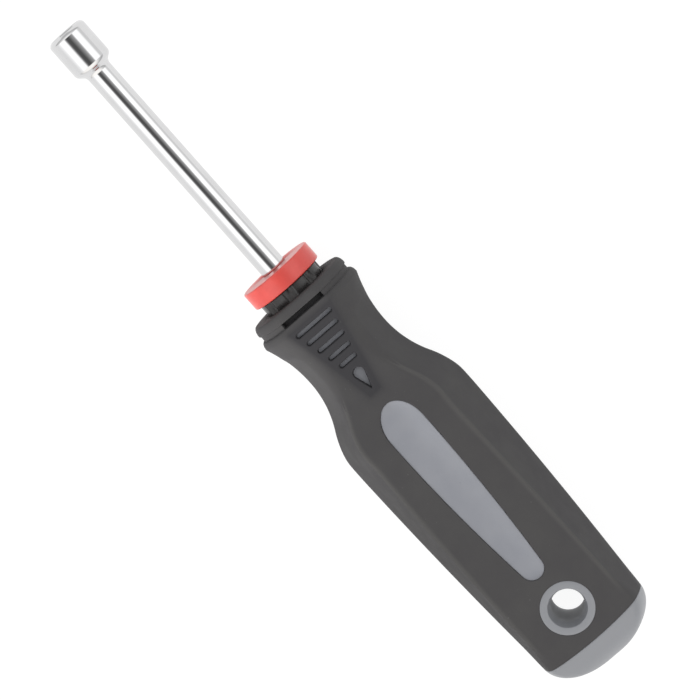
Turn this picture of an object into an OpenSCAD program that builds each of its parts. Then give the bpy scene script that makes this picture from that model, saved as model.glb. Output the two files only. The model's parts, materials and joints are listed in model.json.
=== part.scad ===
// Nut driver with a fixed steel shank and a moulded handle.
// The drive axis is X: the mouth of the socket is at the origin and faces +X, and +Z is the front of the handle.
// A station q is a distance behind the mouth, so it lies at x = -q.

/* [Socket] */
// Size of nut that the socket drives, across the flats
hex_size = 6.35; // [5:0.05:7]
// Play of a nut in the socket, across the flats
hex_play = 0.1; // [0.02:0.02:0.3]
// Depth of the hexagonal hole
hex_depth = 7.6; // [5:0.1:8.5]
// Lead-in at the mouth of the hexagonal hole
hex_lead = 0.4; // [0.1:0.05:0.6]
// Length of the drill point under the hexagonal hole
drill_point = 1.2; // [0.4:0.1:1.6]
// Outside diameter of the socket
socket_d = 9.95; // [9.4:0.05:12]
// Length of the socket's straight outside
socket_len = 9.4; // [9:0.1:20]
// Rounding of the socket's front rim
socket_rim = 0.7; // [0.1:0.05:0.8]

/* [Shank] */
// Diameter of the shank
shank_d = 6.35; // [5.5:0.05:7.5]
// Mouth of the socket to the front of the nose
shank_reach = 76.2; // [50:0.1:150]
// Length of the shank inside the handle
shank_tail = 58; // [45:1:70]
// Chamfer at the end of the tail
tail_chamfer = 0.8; // [0.2:0.1:1.5]
// Span across the two wings that key the tail
wing_span = 10.4; // [8.5:0.1:12]
// Thickness of the wings
wing_t = 2.2; // [1.5:0.1:3]
// Length of the wings
wing_len = 13; // [8:0.5:20]
// Bare tail left behind the wings
wing_back = 5; // [2:0.5:10]

/* [Size ring] */
// Outside diameter of the size ring
ring_d = 18.5; // [15:0.1:21]
// Length of the size ring along the shank
ring_len = 4.5; // [3:0.1:7]
// Rounding of the size ring's outer rims
ring_rim = 0.45; // [0.1:0.05:1]

/* [Core] */
// Diameter of the core's nose
nose_d = 16.4; // [14:0.1:18]
// Length of the nose in front of the grip
nose_len = 2.9; // [2:0.1:5]
// Number of flutes round the nose
flute_count = 8; // [4:1:10]
// Width of a flute, as the diameter of its round bottom
flute_d = 2.6; // [1.5:0.1:3.5]
// Depth of a flute
flute_depth = 0.8; // [0.3:0.1:1.3]
// Thickness of the rubber over the core
grip_wall = 2; // [1.8:0.1:3.2]
// Diameter of the two pins that carry the end cap
pin_d = 4.4; // [3:0.1:6]
// Length of the two pins
pin_len = 3.5; // [2:0.1:4.5]
// Distance of each pin from the drive axis
pin_side = 6.5; // [5:0.1:8]

/* [Grip, seen from the front] */
// Diameter of the collar at the front of the grip
collar_d = 25.9; // [23:0.1:28]
// Length of the collar
collar_len = 2.2; // [1.5:0.1:4]
// Taper of the collar's front edge
collar_edge = 0.5; // [0.1:0.1:1]
// Length of the groove behind the collar
groove_len = 1.5; // [1:0.1:2.5]
// Depth of the groove round the sides
groove_depth = 0.35; // [0.1:0.05:1]
// Width of the deep slot that the groove becomes on each face
slot_w = 11.8; // [8:0.1:13]
// Diameter of the flange behind the groove
flange_d = 27.4; // [25:0.1:30]
// Groove to the crown of the flange
flange_lead = 1.7; // [1:0.1:3]
// Diameter at the waist
waist_d = 22.5; // [20.5:0.1:24]
// Front of the grip to the waist
waist_at = 17.8; // [14:0.1:22]
// Width of the handle at its widest
crest_d = 34.1; // [30:0.1:38]
// Waist to the widest place
crest_run = 24.1; // [20:0.1:28]
// Radius of the shoulder in front of the widest place
shoulder_r = 25; // [10:0.5:28]
// Length of the rubber grip
grip_len = 102.3; // [92:0.1:120]
// Width of the handle at the end cap's joint
joint_d = 29.3; // [26:0.1:32]
// Bow of the handle's sides between the widest place and the end cap
side_bow = 0.4; // [0.05:0.05:1]
// Lean of the four side facets from upright, in degrees
side_lean = 20; // [14:0.5:24]
// How far the turned form stands out past the edges where side facets meet
turned_out = 0.4; // [0.2:0.05:0.8]

/* [Grip, seen from the side] */
// Thickness across the two faces at the collar
collar_t = 23.6; // [22.4:0.1:25]
// Thickness across the two faces at the waist
waist_t = 20.8; // [19.6:0.1:22]
// Thickness across the two faces at the widest place
crest_t = 25.8; // [24:0.1:28]
// Thickness across the two faces at the end cap's joint
joint_t = 20.8; // [18:0.1:23]
// Bow of the faces between the widest place and the end cap
face_bow = 0.6; // [0.2:0.05:1]

/* [Inlays and thumb pads] */
// How far the front of the oval inlay lies in front of the widest place
inlay_lead = 10.4; // [8:0.1:12]
// Width of the oval inlay at its widest
inlay_w = 10; // [7:0.1:11]
// Length of the oval inlay's elliptical front end
inlay_nose = 7.3; // [5:0.1:10]
// Radius of the oval inlay's rear end
inlay_tail_r = 2.9; // [2:0.1:3.4]
// Bow of the oval inlay's long sides
inlay_bow = 0.55; // [0.1:0.05:0.8]
// Gap between the oval inlay and the eyelet
inlay_gap = 3.1; // [1.5:0.1:6]
// Depth of the oval inlay's face below the grip's face
inlay_sink = 0.3; // [0.1:0.05:0.8]
// Height above the drive axis of the seats for inlays and thumb pads
insert_seat = 7; // [6:0.1:7.4]
// Number of thumb slots
bar_count = 5; // [3:1:6]
// Width of a thumb slot
bar_w = 1.3; // [0.8:0.05:1.6]
// Length of the first thumb slot
bar_first_l = 10.6; // [8:0.1:11]
// Length of the last thumb slot
bar_last_l = 5; // [4:0.1:7]
// Crown of the flange to the middle of the first thumb slot
bar_lead = 1.4; // [1.2:0.1:2]
// Width of the drop-shaped slot behind the thumb slots
drop_w = 3; // [2:0.1:4]
// Length of the drop-shaped slot
drop_l = 6.3; // [5:0.1:8]
// Gap between the drop's point and the oval inlay
drop_gap = 4.5; // [3:0.1:6]
// Thickness of the rubber over a thumb pad
pad_cover = 1.1; // [0.8:0.05:1.4]
// Border of a thumb pad round its slots
pad_border = 0.8; // [0.5:0.05:1]

/* [Hanging hole and end cap] */
// Outside diameter of the eyelet
eyelet_d = 12.75; // [11.5:0.05:14]
// Diameter of the hanging hole
hole_d = 7.8; // [6:0.1:9]
// Diameter of the hanging hole where it meets the faces
hole_mouth_d = 9.2; // [9.1:0.1:10.5]
// Depth of the flare at each mouth of the hole
hole_flare = 4.4; // [1:0.1:6]
// Middle of the hole to the end cap's joint
hole_back = 8.4; // [8:0.1:12]
// Length of the end cap at the sides
cap_len = 8.4; // [6.5:0.1:12]
// Bulge of the grip's end into the end cap, seen from the front
joint_sag = 1.2; // [0.4:0.1:2]

/* [Hidden] */
$fn = 96;
// Overshoot of a cut past the face that it opens
over = 1;
// A height above everything on the tool
clear_z = 40;

grip_front = shank_reach + nose_len;
groove_q = grip_front + collar_len;
flange_q = groove_q + groove_len + flange_lead;
waist_q = grip_front + waist_at;
crest_q = waist_q + crest_run;
joint_q = grip_front + grip_len;
joint_mid = joint_q + joint_sag;
crest_r = crest_d / 2 + turned_out;
joint_r = joint_d / 2 + turned_out;
tail_q = shank_reach + shank_tail;
hole_q = joint_q - hole_back;

inlay_front = crest_q - inlay_lead;
inlay_rear = hole_q - eyelet_d / 2 - inlay_gap;
drop_tip = inlay_front - drop_gap;
drop_front = drop_tip - drop_l;
bar_q = flange_q + bar_lead;
bar_pitch = (drop_front - bar_q) / (bar_count - 0.2);

// Steps along each curved stretch of the handle
steps = 6;

// Points [q, v] of a circular arc
function arc(q, v, r, from, to, n) =
  [for (i = [0 : n]) let (a = from + (to - from) * i / n) [q + r * cos(a), v + r * sin(a)]];

function after_first(points) = [for (i = [1 : len(points) - 1]) points[i]];

// Radius of an arc that leaves its lowest point level and climbs by rise over run
function rise_r(run, rise) = (run * run + rise * rise) / (2 * rise);

// Neck from the flange down to the waist
function neck(flange, waist) =
  let (run = waist_q - flange_q, r = rise_r(run, flange - waist))
  [for (i = [0 : steps - 1])
    let (q = run * (1 - i / steps)) [waist_q - q, waist + r - sqrt(r * r - q * q)]];

// Flare from the waist to the crest: a hollow arc, then the round shoulder, both level at their far ends
function flare(waist, crest) =
  let (both = rise_r(crest_run, crest - waist), hollow = both - shoulder_r, turn = asin(crest_run / both))
  concat(
    arc(waist_q, waist + hollow, hollow, -90, turn - 90, steps),
    after_first(arc(crest_q, crest - shoulder_r, shoulder_r, turn + 90, 90, steps))
  );

// Straight taper between two values, with a bow, at a share u of its run
function bowed(first, last, bow, u) = first + (last - first) * u + 4 * bow * u * (1 - u);

// Bowed taper from the crest to the end cap's joint
function body(crest, joint, bow) =
  [for (i = [1 : steps])
    let (u = i / steps) [crest_q + (joint_q - crest_q) * u, bowed(crest, joint, bow, u)]];

// Height of the faces at a station between the crest and the end cap's joint
function face_z(q) = bowed(crest_t / 2, joint_t / 2, face_bow, (q - crest_q) / (joint_q - crest_q));

// Elliptical dome of the end cap
function dome(joint, n) =
  [for (i = [0 : n]) let (a = 90 * i / n) [joint_q + cap_len * sin(a), joint * cos(a)]];

// The same curve, drawn in by a depth
function inset(points, depth) = [for (p = points) [p[0], p[1] - depth]];

// The curve and its mirror image below the axis, as one closed outline
function mirrored(points) =
  concat(points, [for (i = [len(points) - 1 : -1 : 0]) let (p = points[i]) if (p[1] > 0) [p[0], -p[1]]]);

// Outlines behind the waist: [q, radius] turned, [q, half thickness], and [q, half width] at the side edges
rear_sides = concat(flare(waist_d / 2, crest_r), body(crest_r, joint_r, side_bow));
rear_faces = concat(flare(waist_t / 2, crest_t / 2), body(crest_t / 2, joint_t / 2, face_bow));
rear_edges = concat(
  [[grip_front, crest_d / 2], [crest_q, crest_d / 2]],
  body(crest_d / 2, joint_d / 2, side_bow)
);
end_sides = dome(joint_r, steps + 2);
end_edges = dome(joint_d / 2, steps + 2);
end_faces = dome(joint_t / 2, steps + 1);
handle_sides = concat(neck(flange_d / 2, waist_d / 2), rear_sides);
handle_faces = concat([[grip_front, collar_t / 2]], neck(collar_t / 2, waist_t / 2), rear_faces);
collar_sides = [
  [grip_front, collar_d / 2 - collar_edge],
  [grip_front + collar_len * 0.6, collar_d / 2],
  [groove_q, collar_d / 2],
  [groove_q, collar_d / 2 - groove_depth],
  [groove_q + groove_len, collar_d / 2 - groove_depth],
  [groove_q + groove_len, (collar_d + flange_d) / 4]
];

// Turned solid under points [q, radius], closed to the axis at both ends
module turned(points) {
  first = points[0][0];
  last = points[len(points) - 1][0];
  axis_side = concat([[0, first]], [for (p = points) if (p[1] > 0) [p[1], p[0]]], [[0, last]]);
  rotate([0, -90, 0])
    rotate_extrude()
      polygon(axis_side);
}

// Solid between two faces that mirror each other, from points [q, height]
module faced(points) {
  rotate([90, 0, 0])
    linear_extrude(height = 2 * crest_d, center = true)
      polygon([for (p = mirrored(points)) [-p[0], p[1]]]);
}

// Solid between the four side facets, from points [q, half width] along the edges where they meet
module sided(points) {
  intersection_for (way = [-1, 1])
    rotate([way * (90 - side_lean), 0, 0])
      faced([for (p = points) [p[0], p[1] * cos(side_lean)]]);
}

// Upright prism on a plan drawn in x and y, from a height to far above the tool
module upright(from) {
  translate([0, 0, from])
    linear_extrude(height = clear_z)
      children();
}

// Its children, on the front and on the rear face
module both_faces() {
  children();
  mirror([0, 0, 1]) children();
}

// Straight rod along the drive axis between two stations
module rod(d, from, to) {
  translate([-to, 0, 0])
    rotate([0, 90, 0])
      cylinder(d = d, h = to - from);
}

module shank_bar() {
  socket_r = socket_d / 2;
  shank_r = shank_d / 2;
  fillet = socket_r - shank_r;
  turned(concat(
    arc(socket_rim, socket_r - socket_rim, socket_rim, 180, 90, steps),
    arc(socket_len, shank_r, fillet, 90, 0, steps),
    [[tail_q - tail_chamfer, shank_r], [tail_q, shank_r - tail_chamfer]]
  ));
  translate([-(tail_q - wing_back), -wing_span / 2, -wing_t / 2])
    cube([wing_len, wing_span, wing_t]);
}

module hex_hole() {
  hex_r = (hex_size + hex_play) / 2 / cos(30);
  rotate([0, -90, 0]) {
    translate([0, 0, -over])
      cylinder(r = hex_r, h = hex_depth + over, $fn = 6);
    translate([0, 0, -over])
      cylinder(r1 = hex_r + hex_lead + over, r2 = hex_r - over, h = hex_lead + 2 * over);
    translate([0, 0, hex_depth])
      cylinder(d1 = hex_size, d2 = 0, h = drill_point);
  }
}

module flutes() {
  reach = nose_d / 2 - flute_depth + flute_d / 2;
  for (i = [0 : flute_count - 1])
    rotate([i * 360 / flute_count, 0, 0])
      translate([0, 0, reach])
        rod(flute_d, shank_reach - over, grip_front);
}

module cap_pins() {
  for (side = [-1, 1])
    translate([0, side * pin_side, 0])
      rod(pin_d, joint_q - over, joint_mid + pin_len);
}

// All that lies in front of the bulging joint between the grip and the end cap
module joint_form() {
  bulge_r = rise_r(joint_d / 2 + over, joint_sag);
  translate([bulge_r - joint_mid, 0, -clear_z])
    cylinder(r = bulge_r, h = 2 * clear_z, $fn = 4 * $fn);
}

module eyelet_bar() {
  translate([-hole_q, 0, -clear_z])
    cylinder(d = eyelet_d, h = 2 * clear_z);
}

// Core without its cut-outs: a plain nose up to the waist, then the handle's shape under the rubber
module core_form() {
  past_joint = joint_mid + over;
  rod(nose_d, shank_reach, waist_q + over);
  intersection() {
    turned(inset(concat(rear_sides, [[past_joint, joint_r]]), grip_wall));
    faced(inset(concat(rear_faces, [[past_joint, joint_t / 2]]), grip_wall));
    sided(inset(concat(rear_edges, [[past_joint, joint_d / 2]]), grip_wall));
    joint_form();
  }
}

// Oval plan: elliptical front end, bowed sides and a round rear end
module inlay_plan() {
  wide = inlay_w / 2;
  wide_q = inlay_front + inlay_nose;
  tail_q = inlay_rear - inlay_tail_r;
  front = [for (i = [0 : steps]) let (a = 90 * i / steps) [wide_q - inlay_nose * cos(a), wide * sin(a)]];
  side = [for (i = [1 : steps - 1])
    let (u = i / steps)
    [wide_q + (tail_q - wide_q) * u, bowed(wide, inlay_tail_r, inlay_bow, u)]];
  half = concat(front, side, arc(tail_q, 0, inlay_tail_r, 90, 0, steps));
  polygon([for (p = mirrored(half)) [-p[0], p[1]]]);
}

// Half of the first and the last thumb slot's length, and of any slot between them
function bar_half(i) = (bar_first_l + (bar_last_l - bar_first_l) * i / (bar_count - 1)) / 2;

module thumb_plan() {
  for (i = [0 : bar_count - 1])
    translate([-(bar_q + i * bar_pitch), 0]) {
      straight = bar_half(i) - bar_w / 2;
      translate([-bar_w / 2, -straight]) square([bar_w, 2 * straight]);
      for (way = [-1, 1])
        translate([0, way * straight]) circle(d = bar_w);
    }
  drop_r = drop_w / 2;
  drop_q = drop_front + drop_r;
  lean = acos(drop_r / (drop_tip - drop_q));
  translate([-drop_q, 0]) {
    circle(r = drop_r);
    polygon([
      [-drop_r * cos(lean), drop_r * sin(lean)],
      [-(drop_tip - drop_q), 0],
      [-drop_r * cos(lean), -drop_r * sin(lean)]
    ]);
  }
}

// Plan of a thumb pad: it runs under all the thumb slots, with a border round them
module pad_plan() {
  front_q = bar_q - bar_w / 2 - pad_border;
  rear_q = drop_tip + pad_border;
  front_half = bar_half(0) + pad_border;
  rear_half = drop_w / 4 + pad_border;
  polygon([
    [-front_q, -front_half], [-front_q, front_half],
    [-rear_q, rear_half], [-rear_q, -rear_half]
  ]);
}

// Insert on its seat in the core, with its face at a depth under the grip's face
module insert(depth) {
  intersection() {
    upright(insert_seat) children();
    faced(inset(handle_faces, depth));
  }
}

module socket_shank() {
  color("gainsboro")
    difference() {
      shank_bar();
      hex_hole();
    }
}

module size_ring() {
  ring_r = ring_d / 2;
  front = shank_reach - ring_len;
  color("indianred")
    difference() {
      turned(concat(
        arc(front + ring_rim, ring_r - ring_rim, ring_rim, 180, 90, steps),
        arc(shank_reach - ring_rim, ring_r - ring_rim, ring_rim, 90, 0, steps)
      ));
      rod(shank_d, front - over, shank_reach + over);
    }
}

module handle_core() {
  color([0.1, 0.1, 0.11])
    difference() {
      union() {
        core_form();
        cap_pins();
      }
      shank_bar();
      flutes();
      eyelet_bar();
      both_faces() {
        upright(insert_seat) inlay_plan();
        upright(insert_seat) pad_plan();
      }
    }
}

module rubber_grip() {
  color([0.24, 0.24, 0.25])
    difference() {
      intersection() {
        turned(concat(collar_sides, handle_sides, after_first(end_sides)));
        faced(concat(handle_faces, after_first(end_faces)));
        sided(concat(rear_edges, after_first(end_edges)));
        joint_form();
      }
      core_form();
      eyelet_bar();
      both_faces() {
        upright(insert_seat) inlay_plan();
        insert(pad_cover) pad_plan();
        upright(insert_seat) thumb_plan();
        translate([-(groove_q + groove_len), -slot_w / 2, 0])
          cube([groove_len, slot_w, clear_z]);
      }
    }
}

module front_inlay() {
  color([0.58, 0.59, 0.62])
    insert(inlay_sink) inlay_plan();
}

module rear_inlay() {
  mirror([0, 0, 1]) front_inlay();
}

module front_thumb_pad() {
  color([0.5, 0.51, 0.54])
    insert(pad_cover) pad_plan();
}

module rear_thumb_pad() {
  mirror([0, 0, 1]) front_thumb_pad();
}

module hanging_eyelet() {
  mouth_z = face_z(hole_q);
  spread = (hole_mouth_d - hole_d) / hole_flare;
  color([0.6, 0.61, 0.64])
    difference() {
      intersection() {
        eyelet_bar();
        faced(handle_faces);
      }
      translate([-hole_q, 0, -clear_z])
        cylinder(d = hole_d, h = 2 * clear_z);
      both_faces()
        translate([-hole_q, 0, mouth_z - hole_flare])
          cylinder(d1 = hole_d, d2 = hole_mouth_d + spread * over, h = hole_flare + over);
    }
}

module end_cap() {
  color([0.56, 0.57, 0.6])
    difference() {
      intersection() {
        turned(end_sides);
        faced(end_faces);
        sided(end_edges);
      }
      joint_form();
      cap_pins();
    }
}

socket_shank();
size_ring();
handle_core();
rubber_grip();
front_inlay();
rear_inlay();
front_thumb_pad();
rear_thumb_pad();
hanging_eyelet();
end_cap();
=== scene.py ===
import json
import math

import bmesh
import bpy
import numpy as np
from mathutils import Matrix, Vector


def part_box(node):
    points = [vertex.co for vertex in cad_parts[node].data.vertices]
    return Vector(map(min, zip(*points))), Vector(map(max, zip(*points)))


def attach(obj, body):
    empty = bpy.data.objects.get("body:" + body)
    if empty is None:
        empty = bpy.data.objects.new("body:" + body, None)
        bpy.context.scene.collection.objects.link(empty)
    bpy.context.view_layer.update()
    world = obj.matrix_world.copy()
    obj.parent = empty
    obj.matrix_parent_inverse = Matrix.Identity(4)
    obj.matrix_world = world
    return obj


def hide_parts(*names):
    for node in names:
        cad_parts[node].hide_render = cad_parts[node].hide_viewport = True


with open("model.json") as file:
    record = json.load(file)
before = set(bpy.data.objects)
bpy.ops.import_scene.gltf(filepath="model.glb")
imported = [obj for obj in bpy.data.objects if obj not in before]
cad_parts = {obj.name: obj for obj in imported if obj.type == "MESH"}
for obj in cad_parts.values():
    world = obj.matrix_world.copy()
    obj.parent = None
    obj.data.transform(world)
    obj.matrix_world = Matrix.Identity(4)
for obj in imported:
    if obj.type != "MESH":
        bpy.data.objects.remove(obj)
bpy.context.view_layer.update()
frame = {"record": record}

# All sizes below are millimetres, unless a name says otherwise.
# A station q is a distance behind the socket's mouth along the drive axis, so it lies at x = -q.
MM = 0.001
# What counts as nothing in a division or a comparison
TINY = 1e-9


def span(node, axis):
    """Lowest and highest place of a CAD node along an axis."""
    low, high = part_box(node)
    return low[axis] / MM, high[axis] / MM


def stations(node):
    """Front and rear station of a CAD node."""
    low, high = span(node, 0)
    return -high, -low


# Places that the frame gives
RING_FRONT, RING_REAR = stations("size_ring")
RING_R = span("size_ring", 1)[1]
TAIL_Q = stations("socket_shank")[1]
WING_HALF = span("socket_shank", 1)[1]
GRIP_FRONT, JOINT_MID = stations("rubber_grip")
END_Q = stations("end_cap")[1]
CREST_HALF = span("rubber_grip", 1)[1]
CREST_FACE = span("rubber_grip", 2)[1]
INLAY_FRONT, INLAY_REAR = stations("front_inlay")
INLAY_HALF = span("front_inlay", 1)[1]
PAD_FRONT, PAD_REAR = stations("front_thumb_pad")
PAD_HALF = span("front_thumb_pad", 1)[1]
EYELET_R = span("hanging_eyelet", 1)[1]
HOLE = next(m for m in frame["record"]["mounts"] if m["name"] == "hanging_hole")
HOLE_Q = -HOLE["pos_m"][0] / MM
HOLE_R = HOLE["dims"]["r_mm"]

# Socket, shank and ring
SOCKET_R = 4.975
SOCKET_LEN = 9.4
SOCKET_RIM = 0.7
RIM_EDGE = 0.45
SHOULDER_LEAD = 0.35
SHOULDER_R = 0.8
SHANK_R = 3.175
HEX_FLAT = 3.225
HEX_DEPTH = 7.6
HEX_MOUTH_R = 4.12
MOUTH_EDGE = 0.1
DRILL_POINT = 1.2
TAIL_LEN = 5
TAIL_EDGE = 0.8
WING_LEN = 13
WING_HALF_T = 1.1
RING_EDGE = 0.4
# Width of the finest edges, which keep neighbouring rows of points apart
FINE = 0.02

# Nose and core
NOSE_R = 8.2
NOSE_EDGE = 0.5
NOSE_TAIL = 0.3
FLUTES = 8
FLUTE_R = 1.3
FLUTE_DEPTH = 0.8
FLUTE_END = 0.5
FLUTE_POWER = 14
CORE_PLAY = 0.2
TUNNEL_PLAY = 0.6

# Handle, seen from the front
COLLAR_HALF = 12.95
COLLAR_LEN = 2.2
GROOVE_LEN = 1.5
GROOVE_DEPTH = 0.35
SLOT_HALF = 5.9
SLOT_DEPTH = 1.5
FLANGE_HALF = 13.7
FLANGE_LEAD = 1.7
WAIST_HALF = 11.25
WAIST_AT = 17.8
CREST_RUN = 24.1
SHOULDER_ARC = 25.0
TURNED_OUT = 0.4
RIDGE_ROOM = 3.0
FACET_RUN = 7.0
FACET_CLEAR = 4.0
FLARE_OUT = 0.4
FLARE_POWER = 150.0
LEAN_CREST = math.radians(23.5)
LEAN_JOINT = math.radians(14)
JOINT_HALF = 14.65
JOINT_SAG = 1.2
JOINT_CHORD = JOINT_HALF + 1
SIDE_BOW = 0.4

# Handle, seen from the side
COLLAR_FACE = 11.8
WAIST_FACE = 10.4
JOINT_FACE = 10.4
FACE_BOW = 0.6
FRONT_EDGE = 0.4
FRONT_EDGE_RUN = 0.3
GRIP_WALL = 2.0

# Inlays, thumb slots and hanging hole
INLAY_NOSE = 7.3
INLAY_TAIL_R = 2.9
INLAY_BOW = 0.55
INLAY_SINK = 0.3
INLAY_DISH = 0.8
INLAY_T = 1.2
INLAY_RIM = 0.18
PAD_COVER = 1.1
PAD_BORDER = 0.8
PAD_SHADE = 0.5
PAD_T = 0.8
PAD_RIM = 0.1
# Distance over which the painted shade round the thumb slots fades
THUMB_SHADE_FADE = 0.9
BARS = 5
BAR_HALF_W = 0.65
BAR_FIRST_HALF = 5.3
BAR_LAST_HALF = 2.5
DROP_R = 1.5
DROP_L = 6.3
# Share of a bar's pitch by which the drop lies closer than one more bar would
DROP_CLOSER = 0.2
SEAT_DEPTH = 1.6
SEAT_WALL = 0.1
SLOT_WALL = 0.3
HOLE_MOUTH_R = 4.6
HOLE_FLARE = 4.4
HOLE_POWER = 1.5
HOLE_SHADE = 0.17
SHADE_REACH = 1.8
EYELET_PLAY = 0.01
EYELET_FOOT = 1.2
EYELET_LEDGE = 0.35

# Derived stations
WING_REAR = TAIL_Q - TAIL_LEN
WING_FRONT = WING_REAR - WING_LEN
GROOVE_Q = GRIP_FRONT + COLLAR_LEN
FLANGE_Q = GROOVE_Q + GROOVE_LEN + FLANGE_LEAD
WAIST_Q = GRIP_FRONT + WAIST_AT
CREST_Q = WAIST_Q + CREST_RUN
JOINT_Q = JOINT_MID - JOINT_SAG
BAR_Q = PAD_FRONT + PAD_BORDER + BAR_HALF_W
DROP_TIP = PAD_REAR - PAD_BORDER
DROP_Q = DROP_TIP - DROP_L
BAR_PITCH = (DROP_Q - BAR_Q) / (BARS - DROP_CLOSER)


# Curves of the handle

def share_between(q, first, last):
    """Share of the way from a first to a last station, from 0 to 1."""
    return np.clip((q - first) / (last - first), 0, 1)


def eased(value):
    """Smooth step from 0 to 1."""
    share = np.clip(value, 0, 1)
    return share * share * (3 - 2 * share)


def rise_radius(run, rise):
    """Radius of an arc that leaves its lowest point level and climbs by rise over run."""
    return (run * run + rise * rise) / (2 * rise)


def bowed(first, last, bow, u):
    """Value that goes from first to last with u from 0 to 1, raised by bow in the middle."""
    return first + (last - first) * u + 4 * bow * u * (1 - u)


def arc_drop(r, x):
    """How far an arc of radius r falls away from its level end at a distance x along it."""
    return r - np.sqrt(np.maximum(r * r - x * x, 0))


def handle_curve(q, flange, waist, crest, joint, bow):
    """Half size at stations q behind the flange: neck, flare, bowed body and domed end."""
    neck_r = rise_radius(WAIST_Q - FLANGE_Q, flange - waist)
    both = rise_radius(CREST_RUN, crest - waist)
    hollow_r = both - SHOULDER_ARC
    turn_q = WAIST_Q + hollow_r * CREST_RUN / both
    u = share_between(q, CREST_Q, JOINT_Q)
    dome = share_between(q, JOINT_Q, END_Q)
    return np.select(
        [q < WAIST_Q, q < turn_q, q < CREST_Q, q < JOINT_Q],
        [
            waist + arc_drop(neck_r, np.minimum(WAIST_Q - q, WAIST_Q - FLANGE_Q)),
            waist + arc_drop(hollow_r, q - WAIST_Q),
            crest - arc_drop(SHOULDER_ARC, np.minimum(CREST_Q - q, SHOULDER_ARC)),
            bowed(crest, joint, bow, u),
        ],
        joint * np.sqrt(1 - dome * dome),
    )


COLLAR_EDGE = 0.75
GROOVE_LIP = 0.1
# Collar, groove and flange as points [station, half width]
COLLAR_PROFILE = [
    (GRIP_FRONT, COLLAR_HALF - COLLAR_EDGE),
    (GRIP_FRONT + 0.35, COLLAR_HALF - 0.42),
    (GRIP_FRONT + 0.9, COLLAR_HALF - 0.15),
    (GROOVE_Q - 0.5, COLLAR_HALF),
    (GROOVE_Q - GROOVE_LIP, COLLAR_HALF - 0.03),
    (GROOVE_Q, COLLAR_HALF - 0.12),
    (GROOVE_Q + GROOVE_LIP, COLLAR_HALF - GROOVE_DEPTH),
    (GROOVE_Q + GROOVE_LEN - GROOVE_LIP, COLLAR_HALF - GROOVE_DEPTH),
    (GROOVE_Q + GROOVE_LEN, COLLAR_HALF + 0.05),
    (GROOVE_Q + GROOVE_LEN + 0.25, COLLAR_HALF + 0.35),
    (GROOVE_Q + GROOVE_LEN + 0.8, FLANGE_HALF - 0.12),
    (FLANGE_Q, FLANGE_HALF),
]


def half_width(q):
    """Half width of the handle: collar, neck with its flare, body and end."""
    collar_q, collar_half = zip(*COLLAR_PROFILE)
    neck = handle_curve(q, FLANGE_HALF, WAIST_HALF, CREST_HALF + FLARE_OUT, JOINT_HALF, SIDE_BOW)
    neck = (neck ** -FLARE_POWER + CREST_HALF ** -FLARE_POWER) ** (-1 / FLARE_POWER)
    body = handle_curve(q, FLANGE_HALF, WAIST_HALF, CREST_HALF, JOINT_HALF, SIDE_BOW)
    return np.select([q < FLANGE_Q, q < CREST_Q], [np.interp(q, collar_q, collar_half), neck], body)


def turned_half(q):
    """Radius of the turned form that rounds the ridges: tight at the collar, loose towards the end."""
    places = [FLANGE_Q, WAIST_Q, CREST_Q, JOINT_Q]
    return half_width(q) + np.interp(q, places, [0, TURNED_OUT, TURNED_OUT, TURNED_OUT + RIDGE_ROOM])


def edge_half(q):
    """Half width to which the side facets reach; they begin behind the flange."""
    return half_width(q) + FACET_CLEAR * (1 - eased((q - FLANGE_Q) / FACET_RUN))


def face_z(q):
    """Height of the front face above the drive axis."""
    rear = handle_curve(q, COLLAR_FACE, WAIST_FACE, CREST_FACE, JOINT_FACE, FACE_BOW)
    front_edge = FRONT_EDGE * np.exp(-np.maximum(q - GRIP_FRONT, 0) / FRONT_EDGE_RUN)
    return np.where(q < FLANGE_Q, COLLAR_FACE - front_edge, rear)


def joint_bulge(y):
    """How far the joint with the end cap lies behind JOINT_Q, at a distance y from the drive axis."""
    return JOINT_SAG * (1 - (y / JOINT_CHORD) ** 2)


# Ridges are rounded by a power mean: the higher the power, the sharper the ridge
RIDGE_POWER = 60.0
END_POWER = 12.0
SOFT_RUN = 9.0
# How nearly face and side facet must meet for a place to count as near a ridge, and as on it
RIDGE_NEAR = 0.93
RIDGE_FULL = 0.98
# How nearly as tight as the turned form the facets must be for their ridge to count
RIDGE_TIGHT = 0.985
# Least half size of a section
LEAST_HALF = 1e-3

# Columns of the handle's skin: fine ones on the two faces, and one that runs along each ridge
FACE_REACH = 7.4
FACE_STEP = 0.16
FACE_LEVEL = 11.0
FACE_COLUMN = math.atan2(FACE_LEVEL, FACE_REACH)
RIDGE_COLUMN = math.radians(44)
RIDGE_LIMIT = math.radians(50)


def power_radius(terms, power):
    """Radius under several bounds, given as the inverse of each bound's radius."""
    most = terms.max(0)
    return 1 / (most * ((terms / most) ** power).sum(0) ** (1 / power))


def softness(q):
    """Share by which the ridges are rounded towards the end cap."""
    return eased((q - JOINT_Q + SOFT_RUN) / SOFT_RUN)


def side_slope(q):
    """Slope of the side facets at stations q, from the tool's middle plane."""
    return np.tan(LEAN_CREST + (LEAN_JOINT - LEAN_CREST) * share_between(q, CREST_Q, JOINT_Q))


def along_ridge(q, angle):
    """Angles moved so that the column at RIDGE_COLUMN runs along the ridge of face and side facet."""
    ridge = np.arctan2(face_z(q), edge_half(q) - face_z(q) * side_slope(q))
    ridge = np.minimum(ridge, RIDGE_LIMIT)
    turn = np.arctan2(np.abs(np.sin(angle)), np.abs(np.cos(angle)))
    below = turn * ridge / RIDGE_COLUMN
    above = ridge + (turn - RIDGE_COLUMN) * (FACE_COLUMN - ridge) / (FACE_COLUMN - RIDGE_COLUMN)
    moved = np.where(turn < RIDGE_COLUMN, below, np.where(turn < FACE_COLUMN, above, turn))
    return np.arctan2(np.sign(np.sin(angle)) * np.sin(moved), np.sign(np.cos(angle)) * np.cos(moved))


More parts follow.
